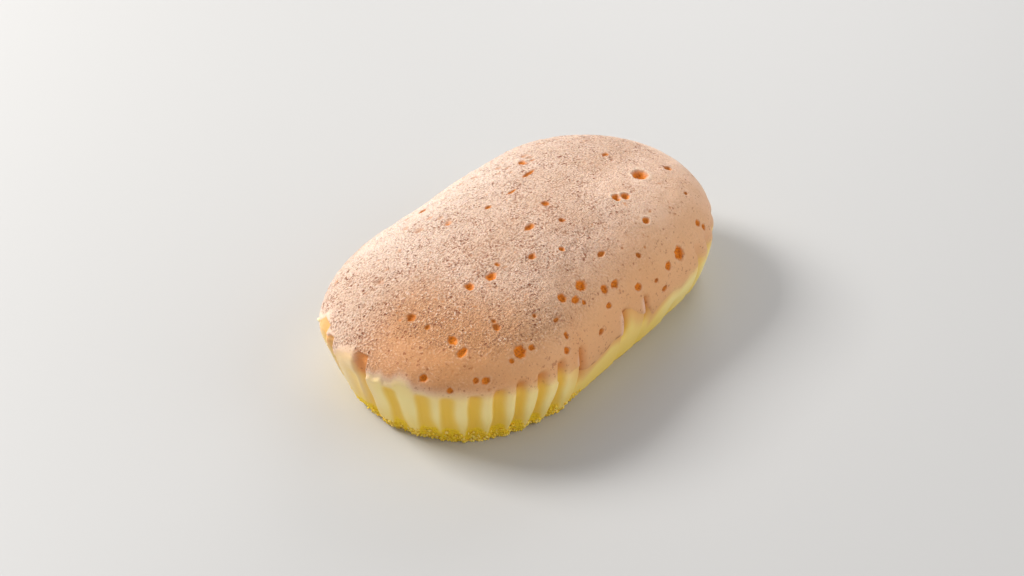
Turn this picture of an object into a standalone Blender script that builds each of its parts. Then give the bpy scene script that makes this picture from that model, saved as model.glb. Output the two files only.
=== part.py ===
"""A long oval steamed sponge cake, turned out of its pleated case.

The cake lies along X on its flat base, with its more spread end at -X. All sizes are in metres.
Places round the cake are given as an arc: metres along the base line, from the tip at -X.
"""

import math
import random
from collections import namedtuple

import bmesh
import bpy
from mathutils import Matrix, Vector, noise
from mathutils.bvhtree import BVHTree

# The base line: two round ends joined by straight sides
STRAIGHT_HALF = 0.033
END_RADIUS = 0.035

# The wall leans out to the brim, the widest line, and the dome closes over it
CAKE_HEIGHT = 0.042
BRIM_HEIGHT_AT_ENDS = 0.024
BRIM_HEIGHT_AT_SIDES = 0.0165
FLARE_AT_ENDS = 0.0032
FLARE_AT_SIDES = 0.0057
FLARE_BEND = 1.5
DOME_FULLNESS = 2.34
DOME_SHOULDER = 1.9

# How unevenly the batter rose: wave number round the cake, cosine and sine of the extra flare
UNEVEN_RISE = ((1, -0.0020, 0.0), (2, 0.0, 0.00014), (3, -0.0016, -0.00056))

# Folds of the case, pressed into the wall like shingles. Each has a sharp edge on the side towards the
# near tip, a groove behind it and a slope out to the next crest. The edge is a distance from the near
# tip. At the foot a fold has only its foot_share of the depth. Above the height begin it deepens, over
# FOOT_BLEND, to the full depth, and it fades away again just below its top.
Fold = namedtuple("Fold", "edge depth groove slope foot_share begin top")
DROP = 0.0004
FOOT_BLEND = 0.003
TOP_FADE = 0.0028

# Flutes, the even folds of the near end: shallow and low near the tip, deeper further round
SHOWN_PITCHES = (0.0055, 0.0078, 0.0062, 0.0064, 0.0060, 0.0053, 0.0056, 0.0060)
HIDDEN_FLUTES_FROM, HIDDEN_FLUTES_TO, HIDDEN_PITCH = 0.0230, 0.0580, 0.0062
DEEPEN_FROM, DEEPEN_TO = 0.018, 0.036
TIP_FLUTE_DEPTH, OUTER_FLUTE_DEPTH = 0.00095, 0.0019
TIP_FLUTE_TOP, OUTER_FLUTE_TOP = 0.0223, 0.0246
GROOVE_OF_PITCH, SLOPE_OF_PITCH = 0.16, 0.34
FLUTE_FOOT_SHARE, FLUTE_BEGIN = 0.45, 0.001

# Flutes of the far end
FAR_FLUTE = Fold(0.1208, 0.0016, 0.0013, 0.0030, 0.3, 0.010, 0.0255)
FAR_PITCH = 0.0061

# Single folds between the two ends, and those beside the near tip, where the case was folded in
SHOWN_SIDE_FOLDS = (
    Fold(0.0568, 0.0022, 0.0011, 0.0034, 0.35, 0.008, 0.0245),
    Fold(0.0805, 0.0014, 0.0013, 0.0036, 0.25, 0.011, 0.0235),
    Fold(0.0910, 0.0012, 0.0010, 0.0020, 0.30, 0.012, 0.0235),
)
HIDDEN_TIP_FOLDS = (
    Fold(0.0008, 0.0024, 0.0018, 0.0029, 0.45, 0.002, 0.0290),
    Fold(0.0134, 0.0012, 0.0010, 0.0018, 0.60, 0.003, 0.0270),
    Fold(0.0169, 0.0014, 0.0013, 0.0034, 0.60, 0.003, 0.0280),
)
HIDDEN_SIDE_FOLDS = (
    Fold(0.0670, 0.0015, 0.0012, 0.0034, 0.30, 0.009, 0.0240),
    Fold(0.0840, 0.0012, 0.0010, 0.0030, 0.30, 0.010, 0.0235),
    Fold(0.1010, 0.0014, 0.0012, 0.0032, 0.30, 0.010, 0.0240),
)

# The browned crust laps down over the wall to this height
CRUST_LINE_AT_ENDS = 0.0212
CRUST_LINE_AT_SIDES = 0.0145
CRUST_LIP = 0.0004

# Torn crumb along the foot, and the slow swell of the dome
FOOT_TEAR = 0.0009
FOOT_TEAR_HEIGHT = 0.0030
FOOT_TEAR_SIZE = 0.0022
SWELL = 0.0007
SWELL_SIZE = 0.021
SWELL_FLATNESS = 4

# Burst bubbles in the crust: place along X and Y, length along X and width along Y
BUBBLES = (
    (0.0397, -0.0154, 0.0062, 0.0046),
    (0.0228, -0.0184, 0.0034, 0.0032),
    (0.0256, -0.0196, 0.0034, 0.0030),
    (0.0231, -0.0288, 0.0028, 0.0024),
    (0.0270, -0.0384, 0.0046, 0.0040),
    (0.0204, -0.0392, 0.0028, 0.0026),
    (0.0055, -0.0382, 0.0030, 0.0026),
    (-0.0022, -0.0352, 0.0034, 0.0026),
    (-0.0068, -0.0346, 0.0028, 0.0026),
    (-0.0137, -0.0312, 0.0042, 0.0034),
    (-0.0224, -0.0310, 0.0030, 0.0028),
    (-0.0188, -0.0332, 0.0034, 0.0024),
    (0.0006, -0.0283, 0.0034, 0.0020),
    (0.0044, -0.0051, 0.0026, 0.0028),
    (-0.0084, -0.0088, 0.0042, 0.0026),
    (-0.0181, -0.0171, 0.0028, 0.0026),
    (-0.0388, -0.0109, 0.0028, 0.0028),
    (-0.0321, -0.0133, 0.0036, 0.0028),
    (-0.0561, -0.0041, 0.0030, 0.0028),
    (-0.0554, -0.0182, 0.0026, 0.0032),
    (-0.0563, -0.0223, 0.0038, 0.0024),
    (-0.0447, -0.0331, 0.0040, 0.0036),
    (-0.0314, -0.0392, 0.0026, 0.0026),
    (-0.0564, -0.0303, 0.0028, 0.0024),
    (0.0153, 0.0095, 0.0056, 0.0024),
    (0.0432, -0.0362, 0.0044, 0.0030),
)
SCATTERED_BUBBLES = 10
SCATTER_SEED = 7
SCATTER_FROM_TIP = 0.020
SCATTER_REACH = (0.45, 0.93)
SCATTER_LENGTH = (0.0024, 0.0040)
SCATTER_WIDTH_OF_LENGTH = (0.7, 1.0)
BUBBLE_DEPTH_OF_WIDTH = 0.42
BUBBLE_SIDES = 9
BUBBLE_RINGS = 6
CAST_HEIGHT = 0.1

# How finely the surface is divided
LEAST_STEP = 0.00015
WIDEST_STEP = 0.004
COUNT_MULTIPLE = 4
WALL_CLIMBS = (0.0, 0.05, 0.14, 0.32, 0.52, 0.72, 0.86, 0.90, 1.0)
DOME_RINGS = 14
HALVING_DOME_RINGS = (3, 10)

CRUST_COLOUR = (0.66, 0.42, 0.26, 1.0)
CRUST_ROUGHNESS = 0.75

QUARTER = END_RADIUS * math.pi / 2
HALF_ROUND = 2 * QUARTER + 2 * STRAIGHT_HALF


def ramp(value, start, end):
    """0 before start, 1 after end, and a smooth rise between them."""
    part = min(max((value - start) / (end - start), 0.0), 1.0)
    return part * part * (3 - 2 * part)


def between_side_and_end(side_value, end_value, outward):
    return side_value + (end_value - side_value) * abs(outward.x)


def base_line(arc):
    """The point and the outward direction on the base line.

    The arc lies between minus and plus half the way round. Positive arcs run along the -Y side.
    """
    side = -1.0 if arc >= 0 else 1.0
    distance = abs(arc)
    if distance < QUARTER:
        turn = distance / END_RADIUS
        centre = -STRAIGHT_HALF
        outward = Vector((-math.cos(turn), side * math.sin(turn), 0.0))
    elif distance < QUARTER + 2 * STRAIGHT_HALF:
        centre = distance - QUARTER - STRAIGHT_HALF
        outward = Vector((0.0, side, 0.0))
    else:
        turn = (HALF_ROUND - distance) / END_RADIUS
        centre = STRAIGHT_HALF
        outward = Vector((math.cos(turn), side * math.sin(turn), 0.0))
    return Vector((centre, 0.0, 0.0)) + outward * END_RADIUS, outward


def brim_height(outward):
    return between_side_and_end(BRIM_HEIGHT_AT_SIDES, BRIM_HEIGHT_AT_ENDS, outward)


def brim_flare(point, outward):
    """How far the brim stands out from the base line."""
    turn = math.atan2(point.y, point.x)
    flare = between_side_and_end(FLARE_AT_SIDES, FLARE_AT_ENDS, outward)
    for wave, cosine, sine in UNEVEN_RISE:
        flare += cosine * math.cos(wave * turn) + sine * math.sin(wave * turn)
    return flare


def flute(edge, pitch):
    """One of the flutes of the near end."""
    outer = ramp(edge, DEEPEN_FROM, DEEPEN_TO)
    depth = TIP_FLUTE_DEPTH + (OUTER_FLUTE_DEPTH - TIP_FLUTE_DEPTH) * outer
    top = TIP_FLUTE_TOP + (OUTER_FLUTE_TOP - TIP_FLUTE_TOP) * outer
    groove, slope = GROOVE_OF_PITCH * pitch, SLOPE_OF_PITCH * pitch
    return Fold(edge, depth, groove, slope, FLUTE_FOOT_SHARE, FLUTE_BEGIN, top)


def shown_flutes():
    folds = []
    edge = 0.0
    for pitch in SHOWN_PITCHES:
        edge += pitch
        folds.append(flute(edge, pitch))
    return folds


def hidden_flutes():
    folds = []
    edge = HIDDEN_FLUTES_FROM
    while edge < HIDDEN_FLUTES_TO:
        folds.append(flute(edge, HIDDEN_PITCH))
        edge += HIDDEN_PITCH
    return folds


def far_flutes():
    folds = []
    edge = FAR_FLUTE.edge
    while edge + FAR_PITCH < HALF_ROUND:
        folds.append(FAR_FLUTE._replace(edge=edge))
        edge += FAR_PITCH
    return folds


SHOWN_FOLDS = shown_flutes() + list(SHOWN_SIDE_FOLDS) + far_flutes()
HIDDEN_FOLDS = list(HIDDEN_TIP_FOLDS) + hidden_flutes() + list(HIDDEN_SIDE_FOLDS) + far_flutes()


def fold_depth(arc, height):
    """How far the wall lies behind the crests of its folds."""
    deepest = 0.0
    for fold in SHOWN_FOLDS if arc >= 0 else HIDDEN_FOLDS:
        behind = abs(arc) - fold.edge
        if behind < 0:
            share = ramp(behind, -DROP, 0.0)
        else:
            share = 1 - ramp(behind, fold.groove, fold.groove + fold.slope)
        grown = ramp(height, fold.begin, fold.begin + FOOT_BLEND)
        share *= fold.foot_share + (1 - fold.foot_share) * grown
        share *= 1 - ramp(height, fold.top - TOP_FADE, fold.top)
        deepest = max(deepest, fold.depth * share)
    return deepest


def relief(arc, point, outward, height):
    """What the case, the crust and the torn foot add to the plain form, outwards."""
    crust_line = between_side_and_end(CRUST_LINE_AT_SIDES, CRUST_LINE_AT_ENDS, outward)
    lip = CRUST_LIP * ramp(height, crust_line - CRUST_LIP, crust_line + CRUST_LIP)
    tear = noise.noise((point + Vector((0.0, 0.0, height))) / FOOT_TEAR_SIZE)
    foot = FOOT_TEAR * tear * (1 - ramp(height, 0.0, FOOT_TEAR_HEIGHT))
    return lip + foot - fold_depth(arc, height)


def wall_point(arc, climb):
    """A point of the wall, from the base line at climb 0 to the brim at climb 1."""
    point, outward = base_line(arc)
    height = brim_height(outward) * climb
    reach = brim_flare(point, outward) * (1 - (1 - climb) ** FLARE_BEND)
    reach += relief(arc, point, outward, height)
    return point + outward * reach + Vector((0.0, 0.0, height))


def dome_point(arc, reach):
    """A point of the dome, from the middle at reach 0 to the brim at reach 1."""
    point, outward = base_line(arc)
    brim = point + outward * brim_flare(point, outward)
    rise = max(1 - reach**DOME_FULLNESS, 0.0) ** (1 / DOME_SHOULDER)
    height = brim_height(outward) * (1 - rise) + CAKE_HEIGHT * rise
    place = brim * reach + outward * relief(arc, point, outward, height) * reach
    swell = SWELL * noise.noise(place / SWELL_SIZE) * (1 - reach**SWELL_FLATNESS)
    return place + Vector((0.0, 0.0, height + swell))


def fold_stations(folds):
    """Distances from the near tip at which the mesh needs a column to draw these folds."""
    distances = []
    for fold in folds:
        foot_of_slope = fold.edge + fold.groove
        distances += [fold.edge - DROP, fold.edge, foot_of_slope]
        distances += [foot_of_slope + fold.slope / 2, foot_of_slope + fold.slope]
    return distances


def stations():
    """Arcs all the way round, in order.

    Wide gaps are halved, until the count is also a multiple that the two halvings in the dome need.
    """
    shown = fold_stations(SHOWN_FOLDS)
    hidden = fold_stations(HIDDEN_FOLDS)
    arcs = sorted([0.0, HALF_ROUND] + shown + [-distance for distance in hidden])
    arcs = [arc for arc, after in zip(arcs, arcs[1:]) if after - arc > LEAST_STEP] + [arcs[-1]]
    while True:
        gaps = [after - arc for arc, after in zip(arcs, arcs[1:])]
        widest = max(gaps)
        if widest < WIDEST_STEP and len(arcs) % COUNT_MULTIPLE == 0:
            return arcs
        place = gaps.index(widest)
        arcs.insert(place + 1, arcs[place] + widest / 2)


def stitch(shape, lower, upper):
    """Joins two rings with faces. The upper ring has as many points as the lower one, or half of them."""
    count = len(lower)
    if len(upper) == count:
        for i in range(count):
            j = (i + 1) % count
            shape.faces.new((lower[i], lower[j], upper[j], upper[i]))
        return
    for i in range(len(upper)):
        j = (i + 1) % len(upper)
        first, middle, last = lower[2 * i], lower[2 * i + 1], lower[(2 * i + 2) % count]
        shape.faces.new((first, middle, upper[i]))
        shape.faces.new((middle, upper[j], upper[i]))
        shape.faces.new((middle, last, upper[j]))


def build_shape():
    """The whole cake as one closed skin: flat base, fluted wall, brim and dome."""
    shape = bmesh.new()
    arcs = stations()
    below = None
    for climb in WALL_CLIMBS:
        ring = [shape.verts.new(wall_point(arc, climb)) for arc in arcs]
        if below is None:
            shape.faces.new(reversed(ring))
        else:
            stitch(shape, below, ring)
        below = ring
    for number in range(1, DOME_RINGS):
        if number in HALVING_DOME_RINGS:
            arcs = arcs[::2]
        reach = math.cos(math.pi / 2 * number / DOME_RINGS)
        ring = [shape.verts.new(dome_point(arc, reach)) for arc in arcs]
        stitch(shape, below, ring)
        below = ring
    crown = shape.verts.new(dome_point(0.0, 0.0))
    for i, vert in enumerate(below):
        shape.faces.new((vert, below[(i + 1) % len(below)], crown))
    bmesh.ops.recalc_face_normals(shape, faces=shape.faces)
    return shape


def centre_on_origin(shape):
    """Puts the middle of the cake's box over the origin."""
    xs = [vert.co.x for vert in shape.verts]
    ys = [vert.co.y for vert in shape.verts]
    shift = Vector((-(min(xs) + max(xs)) / 2, -(min(ys) + max(ys)) / 2, 0.0))
    bmesh.ops.translate(shape, verts=shape.verts, vec=shift)


def crust_material():
    material = bpy.data.materials.new("steamed_crust")
    material.use_nodes = True
    surface = material.node_tree.nodes["Principled BSDF"]
    surface.inputs["Base Color"].default_value = CRUST_COLOUR
    surface.inputs["Roughness"].default_value = CRUST_ROUGHNESS
    surface.inputs["Metallic"].default_value = 0.0
    return material


def scattered_bubbles():
    """More bubbles like the others, for the side at +Y."""
    draw = random.Random(SCATTER_SEED)
    bubbles = []
    for _ in range(SCATTERED_BUBBLES):
        arc = -draw.uniform(SCATTER_FROM_TIP, HALF_ROUND - SCATTER_FROM_TIP)
        place = dome_point(arc, draw.uniform(*SCATTER_REACH))
        length = draw.uniform(*SCATTER_LENGTH)
        bubbles.append((place.x, place.y, length, length * draw.uniform(*SCATTER_WIDTH_OF_LENGTH)))
    return bubbles


def bubble_cutter(number, skin, bubble, collection):
    """A squashed ball that sinks half of itself into the crust, square to the surface there."""
    x, y, length, width = bubble
    place, normal, _, _ = skin.ray_cast(Vector((x, y, CAST_HEIGHT)), Vector((0.0, 0.0, -1.0)))
    ball = bmesh.new()
    bmesh.ops.create_uvsphere(ball, u_segments=BUBBLE_SIDES, v_segments=BUBBLE_RINGS, radius=0.5)
    size = Matrix.Diagonal((length, width, 2 * BUBBLE_DEPTH_OF_WIDTH * width, 1.0))
    turn = Vector((0.0, 0.0, 1.0)).rotation_difference(normal).to_matrix().to_4x4()
    bmesh.ops.transform(ball, matrix=Matrix.Translation(place) @ turn @ size, verts=ball.verts)
    mesh = bpy.data.meshes.new(f"bubble_{number}")
    ball.to_mesh(mesh)
    ball.free()
    cutter = bpy.data.objects.new(f"bubble_{number}", mesh)
    cutter.hide_render = True
    cutter.display_type = "WIRE"
    collection.objects.link(cutter)


def build_cake():
    shape = build_shape()
    centre_on_origin(shape)
    skin = BVHTree.FromBMesh(shape)
    mesh = bpy.data.meshes.new("cake")
    shape.to_mesh(mesh)
    shape.free()
    mesh.shade_smooth()
    mesh.materials.append(crust_material())
    cake = bpy.data.objects.new("cake", mesh)
    bpy.context.scene.collection.objects.link(cake)

    bubbles = bpy.data.collections.new("bubbles")
    bubbles.hide_render = True
    bpy.context.scene.collection.children.link(bubbles)
    for number, bubble in enumerate(list(BUBBLES) + scattered_bubbles()):
        bubble_cutter(number, skin, bubble, bubbles)
    cut = cake.modifiers.new("bubbles", "BOOLEAN")
    cut.operation = "DIFFERENCE"
    cut.operand_type = "COLLECTION"
    cut.collection = bubbles
    cut.solver = "EXACT"


for existing in list(bpy.data.objects):
    bpy.data.objects.remove(existing, do_unlink=True)
build_cake()
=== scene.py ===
# %% [markdown]
# # A long oval steamed cake
#
# This lesson dresses one plain solid, a small sponge cake, until it looks like the real thing.
# The real cake was steamed in a pleated case and then taken out of it. Its top is a thin light
# brown skin with burst bubbles, and its side is bare yellow crumb with the print of the pleats.
# We first load the plain solid, because the finished cake has to fill its box.

# %% Load the plain solid
import math
import random
from collections import namedtuple

import bmesh
import bpy
import numpy as np
from mathutils import Euler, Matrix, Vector, noise
from mathutils.bvhtree import BVHTree


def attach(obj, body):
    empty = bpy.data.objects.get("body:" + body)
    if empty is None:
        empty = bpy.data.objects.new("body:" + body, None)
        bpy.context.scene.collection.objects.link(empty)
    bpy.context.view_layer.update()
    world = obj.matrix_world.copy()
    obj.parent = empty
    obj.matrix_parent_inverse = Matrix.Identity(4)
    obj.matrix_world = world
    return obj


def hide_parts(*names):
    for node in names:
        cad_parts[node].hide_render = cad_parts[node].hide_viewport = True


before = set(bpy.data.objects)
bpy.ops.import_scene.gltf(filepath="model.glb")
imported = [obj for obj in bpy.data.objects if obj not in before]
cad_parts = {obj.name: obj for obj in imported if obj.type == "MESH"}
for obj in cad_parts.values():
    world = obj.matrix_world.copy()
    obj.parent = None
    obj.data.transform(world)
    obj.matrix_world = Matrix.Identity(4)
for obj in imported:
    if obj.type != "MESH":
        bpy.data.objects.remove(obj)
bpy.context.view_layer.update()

mm = 0.001

# %% [markdown]
# ## The camera
#
# The picture looks down on the cake from one end, a little to the side, with a longish lens.
# A camera is easiest to set from two angles, a distance and a point to aim at: the angles give
# the direction back from the aim to the camera, and to_track_quat turns the camera to face it.

# %% Camera
CAMERA_AZIMUTH = math.radians(-52.4)
CAMERA_ELEVATION = math.radians(36.0)
CAMERA_DISTANCE = 500 * mm
CAMERA_AIM = Vector((3.6, 6.8, 5.9)) * mm
LENS = 55.98

back = Vector((
    math.sin(CAMERA_AZIMUTH) * math.cos(CAMERA_ELEVATION),
    -math.cos(CAMERA_AZIMUTH) * math.cos(CAMERA_ELEVATION),
    math.sin(CAMERA_ELEVATION),
))
camera = bpy.data.objects.new("camera", bpy.data.cameras.new("camera"))
camera.data.lens = LENS
camera.data.clip_start = 10 * mm
camera.location = CAMERA_AIM + back * CAMERA_DISTANCE
camera.rotation_mode = "QUATERNION"
camera.rotation_quaternion = (-back).to_track_quat("-Z", "Y")
bpy.context.scene.collection.objects.link(camera)
bpy.context.scene.camera = camera
print("camera at, in mm:", [round(value / mm) for value in camera.location])

# %% [markdown]
# ## Floor and light
#
# Food looks soft under large lamps. A wide key lamp stands behind the cake on the left, so that
# the grain of the skin catches small highlights and the shadow falls towards us on the right.
# Weaker lamps in front and on the right keep those sides readable, and a pale world fills the
# rest. The floor is only a stage: it carries the cake but isn't a part of it.

# %% Floor and light
FLOOR_COLOUR = (0.52, 0.515, 0.505, 1.0)
FLOOR_ROUGHNESS = 0.55
FLOOR_SIZE = 3.0
WORLD_COLOUR = (0.93, 0.95, 1.0, 1.0)
WORLD_STRENGTH = 0.42

Lamp = namedtuple("Lamp", "name place aim size power colour")
AT_MIDDLE, AT_FOOT = (0, 0, 0.02), (0, 0, 0.01)
LAMPS = (
    Lamp("key", (-0.28, 0.84, 0.72), AT_MIDDLE, 0.42, 15.5, (1.0, 0.98, 0.95)),
    Lamp("fill", (0.45, -0.90, 0.60), AT_MIDDLE, 0.9, 4.5, (1.0, 0.975, 0.94)),
    Lamp("right", (0.95, 0.40, 0.45), AT_MIDDLE, 0.6, 3.2, (1.0, 0.98, 0.96)),
    Lamp("low_front", (-0.90, -0.60, 0.16), AT_FOOT, 0.4, 1.3, (1.0, 0.98, 0.95)),
)

bpy.context.scene.view_settings.view_transform = "Standard"


def new_material(name):
    """A node material, and its Principled shader."""
    material = bpy.data.materials.new(name)
    material.use_nodes = True
    return material, material.node_tree.nodes["Principled BSDF"]


def hang(lamp):
    """Adds an area lamp, turned to its aim."""
    light = bpy.data.lights.new(lamp.name, "AREA")
    light.size = lamp.size
    light.energy = lamp.power
    light.color = lamp.colour
    holder = bpy.data.objects.new(lamp.name, light)
    holder.location = lamp.place
    holder.rotation_mode = "QUATERNION"
    holder.rotation_quaternion = (Vector(lamp.aim) - Vector(lamp.place)).to_track_quat("-Z", "Y")
    bpy.context.scene.collection.objects.link(holder)


bpy.ops.mesh.primitive_plane_add(size=FLOOR_SIZE)
floor = bpy.context.object
floor.name = "floor"
floor_material, floor_surface = new_material("pale_floor")
floor_surface.inputs["Base Color"].default_value = FLOOR_COLOUR
floor_surface.inputs["Roughness"].default_value = FLOOR_ROUGHNESS
floor.data.materials.append(floor_material)

world = bpy.data.worlds.new("pale_world")
world.use_nodes = True
backdrop = world.node_tree.nodes["Background"]
backdrop.inputs["Color"].default_value = WORLD_COLOUR
backdrop.inputs["Strength"].default_value = WORLD_STRENGTH
bpy.context.scene.world = world

for lamp in LAMPS:
    hang(lamp)
print("lamps:", [lamp.name for lamp in LAMPS])

# %% [markdown]
# ## The line round the foot
#
# The cake's plan is a stadium: two half circles joined by straight sides. Every place round it
# is given as an arc, the distance along the foot from the tip nearest to us. Positive arcs run
# along the side that we see. One short formula then gives the point and the outward direction
# for a whole array of arcs at once, which is much faster than a loop over points.

# %% Foot line
STRAIGHT_HALF = 33 * mm
END_RADIUS = 35 * mm
QUARTER = END_RADIUS * math.pi / 2
HALF_ROUND = 2 * QUARTER + 2 * STRAIGHT_HALF


def ramp(value, start, end):
    """0 before start, 1 after end, and a smooth rise between them."""
    part = np.clip((value - start) / (end - start), 0.0, 1.0)
    return part * part * (3 - 2 * part)


def mix(first, second, share):
    return first + (second - first) * share


def foot_line(arc):
    """Points and outward directions on the foot line, as x, y, outward x and outward y."""
    side = np.where(arc >= 0, -1.0, 1.0)
    distance = np.abs(arc)
    rounded = np.minimum(distance, QUARTER) + np.maximum(distance - QUARTER - 2 * STRAIGHT_HALF, 0.0)
    turn = rounded / END_RADIUS
    out_x = -np.cos(turn)
    out_y = side * np.sin(turn)
    centre = np.clip(distance - QUARTER - STRAIGHT_HALF, -STRAIGHT_HALF, STRAIGHT_HALF)
    return centre + END_RADIUS * out_x, END_RADIUS * out_y, out_x, out_y


print("length of the foot line in mm:", round(2 * HALF_ROUND / mm, 1))

# %% [markdown]
# ## Wall, brim and dome
#
# The wall leans outwards up to the brim, the widest line, and the dome closes over it. The brim
# sits higher at the round ends than along the sides. The dome is a superellipse: its two powers
# set how full and how square-shouldered it is. The batter didn't rise evenly, so three slow
# waves round the cake make the near end spread more than the far end.

# %% Plain form
CAKE_HEIGHT = 42 * mm
BRIM_HEIGHT_AT_ENDS, BRIM_HEIGHT_AT_SIDES = 24 * mm, 16.5 * mm
FLARE_AT_ENDS, FLARE_AT_SIDES = 3.2 * mm, 5.7 * mm
FLARE_BEND = 1.5
DOME_FULLNESS, DOME_SHOULDER = 2.34, 1.9
# Waves round the cake: how many, and their cosine and sine parts
UNEVEN_RISE = ((1, -2.0 * mm, 0.0), (2, 0.0, 0.14 * mm), (3, -1.6 * mm, -0.56 * mm))


def brim_height(out_x):
    return mix(BRIM_HEIGHT_AT_SIDES, BRIM_HEIGHT_AT_ENDS, np.abs(out_x))


def brim_flare(x, y, out_x):
    """How far the brim stands out from the foot line."""
    turn = np.arctan2(y, x)
    flare = mix(FLARE_AT_SIDES, FLARE_AT_ENDS, np.abs(out_x))
    for wave, cosine, sine in UNEVEN_RISE:
        flare = flare + cosine * np.cos(wave * turn) + sine * np.sin(wave * turn)
    return flare


def dome_rise(reach):
    """Height above the brim, as a share of the dome's; reach is 0 in the middle and 1 at the brim."""
    return np.maximum(1 - reach**DOME_FULLNESS, 0.0) ** (1 / DOME_SHOULDER)


print("height of the dome at the ends in mm:", round((CAKE_HEIGHT - BRIM_HEIGHT_AT_ENDS) / mm, 1))

# %% [markdown]
# ## The print of the pleats
#
# The case had pleats that lay over each other like shingles, and the crumb kept their print.
# Behind each sharp edge the wall drops into a groove and then climbs slowly back to the next
# edge. Close together at the round ends they look like flutes, and the few along the sides look
# like folds. A fold is one small record: where its edge is, how deep and wide the groove is, and
# between which heights it shows. Loops make the even ones, and the few odd ones are listed.

# %% Folds
# All in millimetres but foot_share, the part of the depth that is left at the foot
Fold = namedtuple("Fold", "edge depth groove slope drop foot_share begin top fade")

PLAIN_TIP = Fold(0.0, 0.0, 1.0, 1.0, 0.3, 1.0, 0.0, 1.0, 1.0)
SHOWN_SINGLES = (
    Fold(56.8, 2.1, 1.0, 3.4, 0.5, 0.35, 7.0, 24.5, 4.0),
    Fold(80.5, 1.5, 1.1, 3.6, 0.3, 0.25, 9.5, 23.2, 2.6),
    Fold(91.0, 1.3, 0.8, 1.8, 0.3, 0.30, 10.0, 22.8, 2.6),
    Fold(108.0, 0.35, 1.0, 4.0, 1.5, 1.0, 0.0, 12.0, 4.0),
)
HIDDEN_CLUSTER = (
    Fold(0.8, 1.9, 1.6, 3.2, 0.4, 0.45, 2.0, 28.0, 1.5),
    Fold(5.5, 0.6, 1.0, 5.5, 1.5, 1.0, 0.0, 22.0, 5.0),
    Fold(13.4, 1.2, 1.0, 1.8, 0.4, 0.6, 3.0, 26.4, 1.0),
    Fold(16.9, 1.3, 1.3, 3.4, 0.4, 0.6, 3.0, 27.8, 1.6),
)
HIDDEN_SINGLES = (
    Fold(67.0, 1.5, 1.2, 3.4, 0.5, 0.3, 7.0, 23.0, 4.0),
    Fold(84.0, 1.2, 1.0, 3.0, 0.5, 0.3, 8.0, 22.0, 4.0),
    Fold(101.0, 1.4, 1.2, 3.2, 0.5, 0.3, 8.0, 22.5, 4.0),
)
print("odd folds:", len(SHOWN_SINGLES), "shown and", len(HIDDEN_CLUSTER + HIDDEN_SINGLES), "hidden")

# %% [markdown]
# The even flutes need only a pitch. Those of the near end change as they go round: close to the
# tip they are shallow and soft, and further on they are deeper and reach higher. So each of
# their measures is a pair, the value at the tip and the value further round, mixed by a ramp.

# %% Flutes
SHOWN_PITCHES = (5.5, 7.8, 6.2, 6.4, 6.0, 5.3, 5.6, 6.0)
HIDDEN_FLUTES_FROM, HIDDEN_FLUTES_TO, HIDDEN_PITCH = 23.0, 58.0, 6.2
FLUTE_CHANGES_FROM, FLUTE_CHANGES_TO = 18, 40
FLUTE_DEPTHS, FLUTE_DROPS, FLUTE_TOPS = (0.95, 1.8), (1.7, 0.9), (22.3, 24.6)
GROOVE_OF_PITCH, SLOPE_OF_PITCH = 0.13, 0.44
FLUTE_FOOT_SHARE, FLUTE_FADE = 0.45, 3.0
FAR_FLUTE = Fold(0.0, 1.4, 0.9, 3.4, 1.1, 0.35, 5.0, 25.5, 5.0)
FAR_FLUTES_FROM, FAR_PITCH = 120.8, 6.1


def near_flute(edge, pitch):
    """One of the flutes of the near end."""
    outer = float(ramp(edge, FLUTE_CHANGES_FROM, FLUTE_CHANGES_TO))
    depth, drop, top = (mix(*pair, outer) for pair in (FLUTE_DEPTHS, FLUTE_DROPS, FLUTE_TOPS))
    groove, slope = GROOVE_OF_PITCH * pitch, SLOPE_OF_PITCH * pitch
    return Fold(edge, depth, groove, slope, drop, FLUTE_FOOT_SHARE, 0.0, top, FLUTE_FADE)


def even_edges(edge, last, pitch):
    """Edges at an even pitch, as long as they are before the last place."""
    while edge < last:
        yield edge
        edge += pitch


far_edges = even_edges(FAR_FLUTES_FROM, HALF_ROUND / mm - FAR_PITCH, FAR_PITCH)
far_flutes = [FAR_FLUTE._replace(edge=edge) for edge in far_edges]
SHOWN_FOLDS = [PLAIN_TIP]
for pitch in SHOWN_PITCHES:
    SHOWN_FOLDS.append(near_flute(SHOWN_FOLDS[-1].edge + pitch, pitch))
SHOWN_FOLDS += [*SHOWN_SINGLES, *far_flutes]
HIDDEN_FOLDS = [PLAIN_TIP, *HIDDEN_CLUSTER]
for edge in even_edges(HIDDEN_FLUTES_FROM, HIDDEN_FLUTES_TO, HIDDEN_PITCH):
    HIDDEN_FOLDS.append(near_flute(edge, HIDDEN_PITCH))
HIDDEN_FOLDS += [*HIDDEN_SINGLES, *far_flutes]
print("folds on the two sides:", len(SHOWN_FOLDS), "and", len(HIDDEN_FOLDS))

# %% [markdown]
# ## How deep a place lies in its fold
#
# The function looks up the fold of every place at once: searchsorted finds the last edge before
# it. It returns how low the place lies, from 0 on a crest to 1 in a groove, and that value as a
# real depth. The first one will colour the wall later. Each fold has its own drop, from a third
# of a millimetre at a crisp edge to almost two at a soft flute: over that distance the wall
# falls into the groove. Low on the wall the grooves are wider, as if the foot were stretched.
# The second pass of the inner loop looks at the next edge ahead, for the drop just before it.

# %% Fold relief
FULL_DEPTH = 1.05
FOOT_BLEND = 6.0
FOOT_STRETCH, STRETCH_FROM, STRETCH_TO = 1.45, 2.0, 13.0
JUST_PAST = 1e-6


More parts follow.
